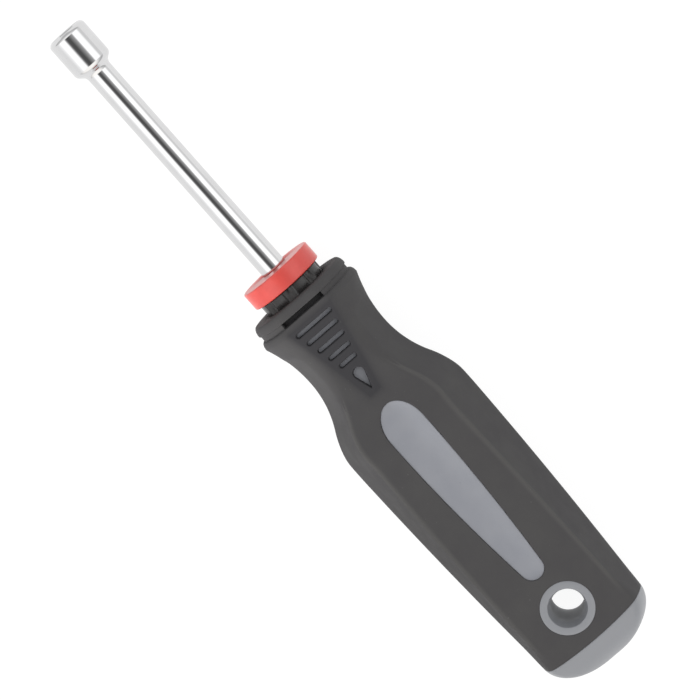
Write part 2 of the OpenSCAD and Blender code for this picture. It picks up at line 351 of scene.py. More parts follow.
def section(q, angle, inset=0.0):
    """Points y, z and ridge share of the handle's section at stations q and angles round the axis."""
    q, angle = np.broadcast_arrays(q, angle)
    slope = side_slope(q)
    angle = along_ridge(q, angle)
    power = RIDGE_POWER * (END_POWER / RIDGE_POWER) ** softness(q)
    edge = np.maximum(edge_half(q) - inset, LEAST_HALF)
    face = np.maximum(face_z(q) - inset, LEAST_HALF)
    turned = np.maximum(turned_half(q) - inset, LEAST_HALF)

    def bounds(along, across):
        facet = (along + across * slope) / edge
        other_facet = np.maximum(along - across * slope, 0) / edge
        return np.stack([facet, other_facet, across / face, 1 / turned])

    ones, none = np.ones_like(edge), np.zeros_like(edge)
    terms = bounds(np.abs(np.cos(angle)), np.abs(np.sin(angle)))
    radius = power_radius(terms, power)
    wide = np.maximum(half_width(q) - inset, LEAST_HALF) / power_radius(bounds(ones, none), power)
    high = face / power_radius(bounds(none, ones), power)
    facet, face_term = terms[0], terms[2]
    closeness = np.minimum(facet, face_term) / np.maximum(facet, face_term)
    ridge = np.clip((closeness - RIDGE_NEAR) / (RIDGE_FULL - RIDGE_NEAR), 0, 1)
    ridge = ridge * (np.maximum(facet, face_term) > RIDGE_TIGHT * terms[3])
    return radius * np.cos(angle) * wide, radius * np.sin(angle) * high, ridge * (1 - softness(q))


# Plans of what is let into the faces, as closed outlines of points [q, y]

INLAY_NOSE_POINTS = 25
INLAY_SIDE_POINTS = 60
EYELET_POINTS = 120


def arc(q, y, r, start, end, count):
    """Points of an arc about a middle, from a start to an end angle in degrees."""
    turn = np.radians(np.linspace(start, end, count))
    return np.stack([q + r * np.cos(turn), y + r * np.sin(turn)], 1)


def mirrored(half):
    """Outline from its half with y >= 0."""
    below = half[::-1] * [1, -1]
    return np.concatenate([half, below[np.abs(below[:, 1]) > TINY]])


def inlay_outline():
    turn = np.radians(np.linspace(0, 90, INLAY_NOSE_POINTS))
    wide_q = INLAY_FRONT + INLAY_NOSE
    tail_q = INLAY_REAR - INLAY_TAIL_R
    front = np.stack([wide_q - INLAY_NOSE * np.cos(turn), INLAY_HALF * np.sin(turn)], 1)
    u = np.linspace(0, 1, INLAY_SIDE_POINTS)[1:-1]
    side = np.stack([wide_q + (tail_q - wide_q) * u, bowed(INLAY_HALF, INLAY_TAIL_R, INLAY_BOW, u)], 1)
    return mirrored(np.concatenate([front, side, arc(tail_q, 0, INLAY_TAIL_R, 90, 0, count=19)]))


def bar_outline(i):
    half = BAR_FIRST_HALF + (BAR_LAST_HALF - BAR_FIRST_HALF) * i / (BARS - 1)
    return mirrored(arc(BAR_Q + i * BAR_PITCH, half - BAR_HALF_W, BAR_HALF_W, 180, 0, count=13))


def drop_outline():
    middle = DROP_Q + DROP_R
    lean = math.degrees(math.acos(DROP_R / (DROP_TIP - middle)))
    return mirrored(np.concatenate([arc(middle, 0, DROP_R, 180, lean, count=19), [[DROP_TIP, 0]]]))


def slot_outline():
    return mirrored(np.array([[GROOVE_Q, SLOT_HALF], [GROOVE_Q + GROOVE_LEN, SLOT_HALF]]))


def eyelet_outline():
    return arc(HOLE_Q, 0, EYELET_R, 0, 360, EYELET_POINTS + 1)[:-1]


def pad_outline():
    rear_half = DROP_R / 2 + PAD_BORDER
    return mirrored(np.array([[PAD_FRONT, PAD_HALF], [PAD_REAR, rear_half]]))


def signed_distance(q, y, outline):
    """Distance of points to a closed outline, negative inside."""
    nearest = np.full(np.shape(q), np.inf)
    inside = np.zeros(np.shape(q), bool)
    for (q0, y0), (q1, y1) in zip(outline, np.roll(outline, -1, 0)):
        dq, dy = q1 - q0, y1 - y0
        share = np.clip(((q - q0) * dq + (y - y0) * dy) / max(dq * dq + dy * dy, TINY), 0, 1)
        nearest = np.minimum(nearest, np.hypot(q - q0 - share * dq, y - y0 - share * dy))
        if y0 != y1:
            crosses = (y0 > y) != (y1 > y)
            inside ^= crosses & (q < q0 + (y - y0) / (y1 - y0) * dq)
    return np.where(inside, -nearest, nearest)


def sunk_outlines():
    """Outlines of what is let into a face, each with its depth and the width of its sloping wall."""
    outlines = [(bar_outline(i), SEAT_DEPTH, SLOT_WALL) for i in range(BARS)]
    outlines.append((drop_outline(), SEAT_DEPTH, SLOT_WALL))
    outlines.append((slot_outline(), SLOT_DEPTH, SLOT_WALL))
    outlines.append((inlay_outline(), SEAT_DEPTH, SEAT_WALL))
    outlines.append((eyelet_outline(), SEAT_DEPTH, SEAT_WALL))
    return outlines


# Mesh helpers

# Points closer than this become one
SAME_PLACE = 0.002
# Columns of what is turned about the drive axis
TURNED = 144
# Most of an edge that the rounding of its corner takes up
CORNER_SHARE = 0.9


def mend(mesh):
    """Joins points at the same place, takes out faces without a size and closes what is open.

    On each face of the handle, the openings of an outer and an inner wall are joined by a rim.
    """
    editable = bmesh.new()
    editable.from_mesh(mesh)
    bmesh.ops.remove_doubles(editable, verts=editable.verts, dist=SAME_PLACE * MM)
    bmesh.ops.dissolve_degenerate(editable, edges=editable.edges, dist=SAME_PLACE * MM)
    rims = [edge for edge in editable.edges if edge.is_boundary]
    for side in (1, -1):
        openings = [edge for edge in rims if edge.verts[0].co.z * side > 0]
        if openings:
            bmesh.ops.bridge_loops(editable, edges=openings)
    editable.to_mesh(mesh)
    editable.free()


def add_piece(name, points, faces, material, slot, node, **attributes):
    """New smooth mesh from points [q, y, z] with a value of each attribute per point.

    It rides on the tool and stands for a CAD node.
    """
    mesh = bpy.data.meshes.new(name)
    mesh.from_pydata((np.asarray(points) * [-MM, MM, MM]).tolist(), [], faces)
    for title, values in attributes.items():
        layer = mesh.attributes.new(title, "FLOAT", "POINT")
        layer.data.foreach_set("value", np.broadcast_to(values, len(points)).astype(np.float32))
    mend(mesh)
    mesh.polygons.foreach_set("use_smooth", [True] * len(mesh.polygons))
    mesh.materials.append(material)
    piece = bpy.data.objects.new(name, mesh)
    bpy.context.scene.collection.objects.link(piece)
    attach(piece, "root")
    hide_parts(node)


def loft(rows, ring=False):
    """Points and faces of a closed skin through rows of points.

    Each end is closed by a fan on its middle, or in a ring the last row meets the first.
    """
    rows = np.asarray(rows, float)
    count, width = rows.shape[:2]
    faces = []
    for i in range(count if ring else count - 1):
        n = (i + 1) % count
        for j in range(width):
            k = (j + 1) % width
            faces.append((i * width + j, n * width + j, n * width + k, i * width + k))
    if ring:
        return rows.reshape(-1, 3), faces
    points = np.concatenate([rows.reshape(-1, 3), rows[:1].mean(1), rows[-1:].mean(1)])
    first, last = count * width, count * width + 1
    for j in range(width):
        k = (j + 1) % width
        faces.append((first, j, k))
        faces.append((last, (count - 1) * width + k, (count - 1) * width + j))
    return points, faces


def ring_angles(count):
    """Angles of evenly spaced columns round an axis."""
    return np.linspace(0, 2 * math.pi, count, endpoint=False)


def lathe_rows(profile, shape=None):
    """Rings turned about the drive axis from points [q, radius]; shape(q, r, angle) may change a ring."""
    angle = ring_angles(TURNED)
    rows = []
    for q, r in profile:
        q_ring, r_ring = np.full(TURNED, float(q)), np.full(TURNED, float(r))
        if shape:
            q_ring, r_ring = shape(q_ring, r_ring, angle)
        rows.append(np.stack([q_ring, r_ring * np.cos(angle), r_ring * np.sin(angle)], 1))
    return np.array(rows)


def rounded(corners, radius, count):
    """Profile through corner points [q, r], its inner corners rounded by one radius or by one each."""
    corners = [np.array(c, float) for c in corners]
    radii = np.broadcast_to(radius, len(corners) - 2)
    profile = [corners[0]]
    for before, corner, after, limit in zip(corners, corners[1:], corners[2:], radii):
        to_before, to_after = before - corner, after - corner
        len_before, len_after = np.linalg.norm(to_before), np.linalg.norm(to_after)
        reach = min(limit, len_before * CORNER_SHARE, len_after * CORNER_SHARE)
        start = corner + to_before / len_before * reach
        end = corner + to_after / len_after * reach
        for u in np.linspace(0, 1, count):
            profile.append((1 - u) ** 2 * start + 2 * u * (1 - u) * corner + u * u * end)
    return profile + [corners[-1]]


# Materials

# Values between which noise mostly lies
CLOUD = (0.3, 0.7)
SPECK_SHARE = 0.5


def new_material(name, color, metallic, roughness):
    """New material, with its node tree and its shader."""
    material = bpy.data.materials.new(name)
    material.use_nodes = True
    shader = material.node_tree.nodes["Principled BSDF"]
    shader.inputs["Base Color"].default_value = (*color, 1)
    shader.inputs["Metallic"].default_value = metallic
    shader.inputs["Roughness"].default_value = roughness
    return material, material.node_tree, shader


def noise(tree, size, detail, roughness=0.5, stretch=(1, 1, 1)):
    """Noise with features of a size in millimetres, stretched along the object's axes."""
    place = tree.nodes.new("ShaderNodeTexCoord")
    mapping = tree.nodes.new("ShaderNodeMapping")
    mapping.inputs["Scale"].default_value = [1 / s for s in stretch]
    texture = tree.nodes.new("ShaderNodeTexNoise")
    texture.inputs["Scale"].default_value = 1 / (size * MM)
    texture.inputs["Detail"].default_value = detail
    texture.inputs["Roughness"].default_value = roughness
    tree.links.new(place.outputs["Object"], mapping.inputs["Vector"])
    tree.links.new(mapping.outputs["Vector"], texture.inputs["Vector"])
    return texture.outputs["Fac"]


def ramp(tree, source, low, high, color_low, color_high):
    """Colour that goes from one to another as a source goes from low to high."""
    node = tree.nodes.new("ShaderNodeValToRGB")
    first, last = node.color_ramp.elements
    first.position, last.position = low, high
    first.color, last.color = (*color_low, 1), (*color_high, 1)
    tree.links.new(source, node.inputs["Fac"])
    return node.outputs["Color"]


def mix(tree, share, first, second):
    """Colour that goes from a socket to another socket or a fixed colour as share goes from 0 to 1."""
    node = tree.nodes.new("ShaderNodeMix")
    node.data_type = "RGBA"
    tree.links.new(share, node.inputs["Factor"])
    tree.links.new(first, node.inputs["A"])
    if isinstance(second, bpy.types.NodeSocket):
        tree.links.new(second, node.inputs["B"])
    else:
        node.inputs["B"].default_value = (*second, 1)
    return node.outputs["Result"]


def scaled(tree, source, low, high, to_low, to_high):
    """Value that goes from to_low to to_high as a source goes from low to high."""
    node = tree.nodes.new("ShaderNodeMapRange")
    for name, value in zip(("From Min", "From Max", "To Min", "To Max"), (low, high, to_low, to_high)):
        node.inputs[name].default_value = value
    tree.links.new(source, node.inputs["Value"])
    return node.outputs["Result"]


def attribute(tree, name):
    """Value that the mesh carries under a name."""
    node = tree.nodes.new("ShaderNodeAttribute")
    node.attribute_name = name
    return node.outputs["Fac"]


def bump(tree, shader, height, depth):
    """Relief of a depth in millimetres."""
    node = tree.nodes.new("ShaderNodeBump")
    node.inputs["Strength"].default_value = 1.0
    node.inputs["Distance"].default_value = depth * MM
    tree.links.new(height, node.inputs["Height"])
    tree.links.new(node.outputs["Normal"], shader.inputs["Normal"])


def shaded_or_tinted(tree, color, share, shade_or_tint, most):
    """Colour that goes towards a painted shade, painted highlight or tint, by most of the way, as share goes
    from 0 to 1.
    """
    return mix(tree, scaled(tree, share, 0, 1, 0, most), color, shade_or_tint)


def specked(tree, color, size, low, high, speck):
    """Colour with specks where fine noise lies above low."""
    specks = noise(tree, size, detail=1)
    return mix(tree, scaled(tree, specks, low, high, 0, SPECK_SHARE), color, speck)


def chrome_steel():
    base, dark, light = (0.68, 0.68, 0.685), (0.655, 0.655, 0.66), (0.69, 0.69, 0.695)
    material, tree, shader = new_material("chrome_steel", base, metallic=1.0, roughness=0.05)
    streaks = noise(tree, 0.5, detail=4, stretch=(8, 1, 1))
    tree.links.new(scaled(tree, streaks, *CLOUD, 0.04, 0.1), shader.inputs["Roughness"])
    haze = noise(tree, 6, detail=3)
    tree.links.new(ramp(tree, haze, 0.35, 0.7, dark, light), shader.inputs["Base Color"])
    return material


def red_plastic():
    base, dark, light = (0.66, 0.075, 0.062), (0.62, 0.068, 0.057), (0.69, 0.082, 0.068)
    material, tree, shader = new_material("red_plastic", base, metallic=0.0, roughness=0.28)
    cloud = noise(tree, 3, detail=3)
    tree.links.new(ramp(tree, cloud, *CLOUD, dark, light), shader.inputs["Base Color"])
    bump(tree, shader, noise(tree, 0.25, detail=2), depth=0.006)
    return material


def black_plastic():
    base = (0.024, 0.022, 0.022)
    material, tree, shader = new_material("black_plastic", base, metallic=0.0, roughness=0.25)
    cloud = noise(tree, 1.2, detail=3)
    tree.links.new(scaled(tree, cloud, *CLOUD, 0.18, 0.36), shader.inputs["Roughness"])
    bump(tree, shader, noise(tree, 0.5, detail=3), depth=0.02)
    return material


def black_rubber():
    """Clouded rubber with painted shade round the thumb slots and darkest painted shade in what is let in;
    its paler ridges are wear with a painted highlight.
    """
    base, dark, light = (0.07, 0.069, 0.07), (0.069, 0.067, 0.0695), (0.0765, 0.075, 0.0755)
    # thumb and hollow are painted shade; ridge is wear along the edges with a painted highlight
    thumb, ridge = (0.041, 0.0405, 0.045), (0.096, 0.094, 0.093)
    speck, hollow = (0.14, 0.14, 0.14), (0.026, 0.026, 0.027)
    material, tree, shader = new_material("black_rubber", base, metallic=0.0, roughness=0.66)
    shader.inputs["Specular IOR Level"].default_value = 0.06
    cloud = noise(tree, 9, detail=4, roughness=0.6)
    color = ramp(tree, cloud, *CLOUD, dark, light)
    # Painted shade round the thumb slots
    color = shaded_or_tinted(tree, color, attribute(tree, "thumb"), thumb, most=0.75)
    # Paler ridges: wear along the edges with a painted highlight
    color = shaded_or_tinted(tree, color, attribute(tree, "ridge"), ridge, most=0.85)
    color = specked(tree, color, 0.45, 0.76, 0.82, speck)
    # Painted shade in the slots, windows and seats let into the faces
    color = shaded_or_tinted(tree, color, attribute(tree, "hollow"), hollow, most=0.9)
    tree.links.new(color, shader.inputs["Base Color"])
    sheen = noise(tree, 4, detail=3)
    tree.links.new(scaled(tree, sheen, *CLOUD, 0.6, 0.74), shader.inputs["Roughness"])
    bump(tree, shader, noise(tree, 0.22, detail=3, roughness=0.6), depth=0.012)
    return material


def grey_plastic():
    """Clouded bluish grey: less blue where it is neutral, darker by painted shade and duller where it lies
    deep.
    """
    base, dark, light = (0.262, 0.272, 0.305), (0.25, 0.26, 0.293), (0.275, 0.284, 0.315)
    neutral, deep, speck = (0.246, 0.254, 0.274), (0.1, 0.1, 0.102), (0.12, 0.12, 0.125)
    material, tree, shader = new_material("grey_plastic", base, metallic=0.0, roughness=0.4)
    cloud = noise(tree, 7, detail=3)
    color = ramp(tree, cloud, *CLOUD, dark, light)
    color = shaded_or_tinted(tree, color, attribute(tree, "neutral"), neutral, most=1.0)
    depth = attribute(tree, "deep")
    # Painted shade where the plastic lies deep; the same share makes it rougher
    color = shaded_or_tinted(tree, color, depth, deep, most=0.85)
    tree.links.new(scaled(tree, depth, 0, 0.6, 0.4, 1.0), shader.inputs["Roughness"])
    color = specked(tree, color, 0.5, 0.79, 0.84, speck)
    tree.links.new(color, shader.inputs["Base Color"])
    bump(tree, shader, noise(tree, 0.2, detail=2), depth=0.006)
    return material


CHROME = chrome_steel()
RED = red_plastic()
BLACK = black_plastic()
RUBBER = black_rubber()
GREY = grey_plastic()


# Socket, shank and ring

HEX_TURN = math.radians(60)
WING_ENDS = (WING_FRONT - FINE / 2, WING_FRONT, WING_REAR, WING_REAR + FINE / 2)
WING_PROFILE = [(q, SHANK_R) for q in WING_ENDS]


def hex_radius(angle):
    """Radius of the hexagonal hole at an angle; its corners point along the width of the tool."""
    return HEX_FLAT / np.cos(np.mod(angle, HEX_TURN) - HEX_TURN / 2)


def wing_shape(q, r, angle):
    """Rings of the shank's tail, with its two wings."""
    if WING_FRONT <= q[0] <= WING_REAR:
        wide = WING_HALF / np.maximum(np.abs(np.cos(angle)), TINY)
        thick = WING_HALF_T / np.maximum(np.abs(np.sin(angle)), TINY)
        return q, np.maximum(r, np.minimum(wide, thick))
    return q, r


def socket_shape(q, r, angle):
    """Rings of the socket and shank.

    A radius of 0 marks a ring of the hexagonal hole. At station 0 that is where the mouth's cone meets it.
    """
    if r[0] > 0:
        return wing_shape(q, r, angle)
    hexagon = hex_radius(angle)
    if q[0] > 0:
        return q, hexagon
    return HEX_MOUTH_R - hexagon, hexagon


def socket_shank():
    hole = [
        (HEX_DEPTH + DRILL_POINT, FINE),
        (HEX_DEPTH + FINE, HEX_FLAT - 3 * FINE),
        (HEX_DEPTH, 0),
        (HEX_DEPTH - 2.5 * FINE, 0),
        (0, 0),
        (2 * FINE, HEX_MOUTH_R - 2 * FINE),
        (0, HEX_MOUTH_R + FINE),
    ]
    cone_len = SOCKET_R - SHANK_R
    corners = [
        (0, HEX_MOUTH_R + 2 * FINE),
        (0, SOCKET_R - SOCKET_RIM),
        (SOCKET_RIM, SOCKET_R),
        (SOCKET_LEN + SHOULDER_LEAD, SOCKET_R),
        (SOCKET_LEN + cone_len, SHANK_R),
        (RING_FRONT, SHANK_R),
    ]
    outside = rounded(corners, [MOUTH_EDGE, RIM_EDGE, SHOULDER_R, SHOULDER_R], count=9)
    tail = WING_PROFILE + [(TAIL_Q - TAIL_EDGE, SHANK_R), (TAIL_Q, SHANK_R - TAIL_EDGE)]
    points, faces = loft(lathe_rows(hole + outside + tail, socket_shape))
    add_piece("chrome_socket_shank", points, faces, CHROME, "chrome_steel", "socket_shank")


def size_ring():
    corners = [(RING_FRONT, SHANK_R), (RING_FRONT, RING_R), (RING_REAR, RING_R), (RING_REAR, SHANK_R)]
    points, faces = loft(lathe_rows(rounded(corners, RING_EDGE, count=7)), ring=True)
    add_piece("red_size_ring", points, faces, RED, "red_plastic", "size_ring")


# Handle

def side_angles():
    """Angles from the front face's fine columns round one side to the rear face's, in degrees."""
    # Start, end and step of each zone
    zones = [(math.degrees(FACE_COLUMN), 48, 2.0), (48, 40, 0.8), (40, 4, 3.0), (4, 0, 1.0)]
    quarter = np.concatenate([np.arange(a, b, -step) for a, b, step in zones])
    return np.concatenate([quarter, [0], -quarter[::-1]])


def column_angles():
    """Angles of the grip's columns, fine on the two faces and coarser round the sides; they mirror in z."""
    y = np.arange(FACE_REACH - FACE_STEP, -FACE_REACH + FACE_STEP / 2, -FACE_STEP)
    front = np.degrees(np.arctan2(FACE_LEVEL, y))
    side = side_angles()
    other = 180 - side[::-1]
    turn = np.concatenate([side[::-1], front, np.mod(other[::-1], 360), -front[::-1]])
    return np.radians(turn)


# Least distance of two neighbouring stations where two zones meet, as a share of the step
LEAST_STEP = 0.3


def grip_stations():
    """Stations of the sleeve's outside, close together where something is let into it."""
    groove_end = GROOVE_Q + GROOVE_LEN
    start = GRIP_FRONT + 3 * FINE
    # End and step of each zone, which starts where the one before ends
    zones = [
        (GROOVE_Q - 0.3, 0.14),
        (GROOVE_Q + 0.3, 0.05),
        (groove_end - 0.3, 0.2),
        (groove_end + 0.4, 0.05),
        (BAR_Q - 1, 0.2),
        (DROP_TIP + 0.4, 0.15),
        (INLAY_FRONT - 0.4, 0.35),
        (INLAY_FRONT + 3, 0.16),
        (INLAY_REAR - 3.4, 0.8),
        (INLAY_REAR + 0.4, 0.16),
        (HOLE_Q - EYELET_R - 0.4, 0.3),
        (HOLE_Q + EYELET_R + 0.4, 0.16),
        (JOINT_Q - 0.3, 0.2),
        (JOINT_Q, 0.06),
    ]
    parts = []
    for end, step in zones:
        parts.append(np.arange(start, end - step * LEAST_STEP, step))
        start = end
    return np.concatenate(parts + [[JOINT_Q]])


def inner_stations():
    """Stations of the sleeve's inner wall and of the core in it, from behind the waist to the joint."""
    hole_front, hole_rear = HOLE_Q - EYELET_R - 1, HOLE_Q + EYELET_R + 1
    before = np.arange(WAIST_Q + 0.3, hole_front, 3.0)
    beside = np.arange(hole_front, hole_rear, 0.6)
    behind = np.arange(hole_rear, JOINT_Q - 0.5, 1.0)
    return np.concatenate([before, beside, behind, [JOINT_Q]])


# Behind this station the rows bend towards the bulging joint
RAMP_Q = HOLE_Q + EYELET_R + 0.2


def skin(q, angle, inset=0.0):
    """Points of the handle's skin and their ridge share; its last rows bend to the bulging joint."""
    q = np.broadcast_to(q[:, None], (len(q), len(angle)))
    y, z, ridge = section(q, angle[None, :], inset)
    q = q + joint_bulge(y) * share_between(q, RAMP_Q, JOINT_Q)
    y, z, ridge = section(q, angle[None, :], inset)
    return np.stack([q, y, z], 2), ridge


def over_hole(points, radius):
    """Which points lie over or under the hanging hole, out to a radius."""
    return np.hypot(points[:, 0] - HOLE_Q, points[:, 1]) < radius


def cut_hole(points, faces, radius):
    """Leaves the faces over and under the hanging hole out of a loft."""
    near = over_hole(points, radius)
    return [face for face in faces if not near[list(face)].all()]


def open_hole(points, faces, width, radius):
    """Puts a tunnel in the place of the faces over and under the hanging hole.

    The rows of the loft have a width in points and mirror in z.
    """
    front = over_hole(points, radius) & (points[:, 2] > 0)
    edges = {}
    for face in faces:
        if front[list(face)].all():
            edges.update(dict.fromkeys(zip(face, face[1:] + face[:1])))

    def under(point):
        """Point that mirrors another of the same row in z."""
        return point - point % width + -point % width

    tunnel = [(a, b, under(b), under(a)) for a, b in edges if (b, a) not in edges]
    return cut_hole(points, faces, radius) + tunnel


# How far points move onto an outline, how far the search goes beyond it, and the step that gives its slope
SNAP = 0.45 * FACE_STEP
SNAP_SEARCH = 1
SLOPE_STEP = 1e-3


def let_in(rows):
    """Lets slots, windows and seats into both faces.

    Points of the grid next to an outline move onto it. The share of its depth at each point is given too;
    the rubber darkens by it as painted shade.
    """
    rows = rows.copy()
    level = face_z(rows[..., 0])
    depth, share = np.zeros((2, *rows.shape[:2]))
    for outline, full_depth, wall in sunk_outlines():
        first, last = outline[:, 0].min() - SNAP_SEARCH, outline[:, 0].max() + SNAP_SEARCH
        near = (np.abs(rows[..., 1]) < FACE_REACH) & (rows[..., 0] > first) & (rows[..., 0] < last)
        q, y = rows[near][:, 0], rows[near][:, 1]
        distance = signed_distance(q, y, outline)
        slope_q = (signed_distance(q + SLOPE_STEP, y, outline) - distance) / SLOPE_STEP
        slope_y = (signed_distance(q, y + SLOPE_STEP, outline) - distance) / SLOPE_STEP
        close = np.abs(distance) < SNAP
        move = np.where(close, distance, 0)
        rows[near, 0] = q - move * slope_q
        rows[near, 1] = y - move * slope_y
        distance = np.where(close, 0, distance)
        reached = np.clip(-distance / wall, 0, 1)
        share[near] = np.maximum(share[near], reached)
        depth[near] = np.maximum(depth[near], full_depth * reached)
    height = np.abs(rows[..., 2]) + face_z(rows[..., 0]) - level - depth
    rows[..., 2] = np.sign(rows[..., 2]) * height
    return rows, share


# Rows of the sleeve's front: share of the way from the nose to the collar's edge, and place behind the front
FRONT_ROWS = [(0.0, 0.0), (0.5, 0.0), (0.9, 0.0), (0.97, FINE)]
NOSE_OVERLAP = 0.15
# Shares of the joint's section at the sleeve's outer edge and at the rim of its end
END_EDGE = 0.9985
END_RIM = 0.985
# Share of the face's height above which a point counts as on the face
ON_FACE = 0.75


def front_rows(angle):
    """Rows of the sleeve's front, from its opening round the nose out to the collar's edge."""
    edge_y, edge_z, _ = section(np.full(1, GRIP_FRONT + FINE / 2), angle)
    radius = NOSE_R - NOSE_OVERLAP
    rows = []
    for share, behind in FRONT_ROWS:
        y = radius * np.cos(angle) * (1 - share) + edge_y * share
        z = radius * np.sin(angle) * (1 - share) + edge_z * share
        rows.append(np.stack([np.full_like(y, GRIP_FRONT + behind), y, z], 1))
    return rows


def thumb_shade(rows):
    """Share of the painted shade round the thumb slots, on the two faces only."""
    beyond = np.maximum(signed_distance(rows[..., 0], rows[..., 1], pad_outline()), 0)
    return np.exp(-beyond / THUMB_SHADE_FADE) * (np.abs(rows[..., 2]) > ON_FACE * face_z(rows[..., 0]))


def rubber_grip():
    """Sleeve with an outer and an inner wall, open for the nose, the end cap and the eyelet."""
    angle = column_angles()
    front = front_rows(angle)
    rows, ridge = skin(grip_stations(), angle)
    thumb = thumb_shade(rows)
    rows, hollow = let_in(rows)
    end = rows[-1:] * [1, END_RIM, END_RIM] + [FINE, 0, 0]
    rows[-1, :, 1:] *= END_EDGE
    inside, _ = skin(inner_stations(), angle, GRIP_WALL)
    throat = front[0] + [WAIST_Q - GRIP_FRONT, 0, 0]
    inside = np.concatenate([end, inside[::-1], [throat]])
    points, faces = loft(np.concatenate([front, rows, inside]), ring=True)
    faces = cut_hole(points, faces, EYELET_R - EYELET_LEDGE)
    # ridge carries wear with a painted highlight; thumb and hollow carry painted shade
    attributes = {}
    for name, values in (("ridge", ridge), ("thumb", thumb), ("hollow", hollow)):
        attributes[name] = np.pad(values, ((len(front), len(inside)), (0, 0))).ravel()
    add_piece("rubber_sleeve", points, faces, RUBBER, "black_rubber", "rubber_grip", **attributes)


def nose_shape(q, r, angle):
    """Flutes round the nose, up to the grip's front, and the seat of the shank's tail."""
    if r[0] <= SHANK_R:
        return wing_shape(q, r, angle)
    if q[0] > GRIP_FRONT + FLUTE_END:
        return q, r
    reach = NOSE_R - FLUTE_DEPTH + FLUTE_R
    pitch = 2 * math.pi / FLUTES
    off = np.mod(angle - math.pi / 2 + pitch / 2, pitch) - pitch / 2
    root = np.maximum(FLUTE_R ** 2 - (reach * np.sin(off)) ** 2, 0)
    flute = np.where(root > 0, reach * np.cos(off) - np.sqrt(root), NOSE_R + 1)
    soft = (NOSE_R ** -FLUTE_POWER + flute ** -FLUTE_POWER) ** (-1 / FLUTE_POWER)
    return q, r * soft / NOSE_R


def handle_core():
    """Fluted nose and the core behind it, with the seat of the shank's tail and a tunnel for the eyelet."""
    seat = [(TAIL_Q + CORE_PLAY, SHANK_R)] + WING_PROFILE[::-1]
    corners = [(RING_REAR, SHANK_R), (RING_REAR, NOSE_R), (GRIP_FRONT + NOSE_TAIL, NOSE_R)]
    nose = rounded(corners, NOSE_EDGE, count=7)
    neck_r = NOSE_R - CORE_PLAY
    neck = [(GRIP_FRONT + 2 * NOSE_TAIL, neck_r), (WAIST_Q, neck_r)]
    turned = lathe_rows(seat + nose + neck, nose_shape)
    body, _ = skin(inner_stations()[1:-1], ring_angles(TURNED), GRIP_WALL + CORE_PLAY)
    points, faces = loft(np.concatenate([turned, body]))
    faces = open_hole(points, faces, TURNED, EYELET_R + TUNNEL_PLAY)
    add_piece("nose_and_core", points, faces, BLACK, "black_plastic", "handle_core")


PLATE_ROWS = 90
PLATE_COLUMNS = 31
# Angle that the first and the last row of a plate keep from its tips
PLATE_TIP = 0.03


def plate(name, outline, depth, thick, dish, rim, shade, nodes):
    """Thin plate under the grip's face and its copy on the rear face.

    It has a rounded rim, a dished middle and a share of painted shade.
    """
    half = outline[outline[:, 1] >= 0]
    half = half[np.argsort(half[:, 0], kind="stable")]
    first, last = half[0, 0], half[-1, 0]
    turn = np.linspace(PLATE_TIP, math.pi - PLATE_TIP, PLATE_ROWS)
    across = np.sin(np.linspace(math.pi / 2, -math.pi / 2, PLATE_COLUMNS))
    q = ((first + last) / 2 - (last - first) / 2 * np.cos(turn))[:, None]
    y = np.interp(q, half[:, 0], half[:, 1]) * across
    q = np.broadcast_to(q, y.shape)
    inside = np.maximum(-signed_distance(q, y, outline), 0)
    fall = rim * (1 - np.sqrt(1 - np.clip(1 - inside / rim, 0, 1) ** 2))
    hollow = dish * (1 - across ** 2) * y.max(1, keepdims=True) / y.max()
    top = np.stack([q, y, face_z(q) - depth - fall - hollow], 2)
    bottom = np.stack([q, y, face_z(q) - depth - thick], 2)[:, ::-1]
    rows = np.concatenate([top, bottom], 1)
    for node, side in zip(nodes, (1, -1)):
        points, faces = loft(rows * [1, 1, side])
        if side < 0:
            faces = [f[::-1] for f in faces]
        title = name if side > 0 else name.replace("front", "rear")
        add_piece(title, points, faces, GREY, "grey_plastic", node, deep=shade)


def inlays():
    plate(
        "front_oval_inlay", inlay_outline(), depth=INLAY_SINK, thick=INLAY_T, dish=INLAY_DISH,
        rim=INLAY_RIM, shade=0.0, nodes=("front_inlay", "rear_inlay"),
    )


def thumb_pads():
    plate(
        "front_pad", pad_outline(), depth=PAD_COVER, thick=PAD_T, dish=0.0,
        rim=PAD_RIM, shade=PAD_SHADE, nodes=("front_thumb_pad", "rear_thumb_pad"),
    )


EYELET_COLUMNS = 128
EYELET_EDGE = EYELET_R - EYELET_PLAY
# Rim of the eyelet from its outer edge to its mouth, as points [radius, height over the handle's face]
EYELET_RIM = [
    (EYELET_EDGE, -EYELET_FOOT),
    (EYELET_EDGE, -0.08),
    (EYELET_EDGE - 0.03, -0.03),
    (EYELET_EDGE - 0.1, 0.0),
    (EYELET_EDGE - 0.8, 0.0),
    (HOLE_MOUTH_R + 0.2, 0.0),
    (HOLE_MOUTH_R + 0.05, -0.02),
    (HOLE_MOUTH_R - 0.01, -0.1),
]
# First share, last share and count of the rows down the hole's flare
FLARE_ROWS = (0.06, 0.95, 9)
# Distance of the straight bore's first row below the flare, height of its last row, and their count
BORE_LEAD = 0.2
BORE_LAST = 0.4
BORE_ROWS = 6


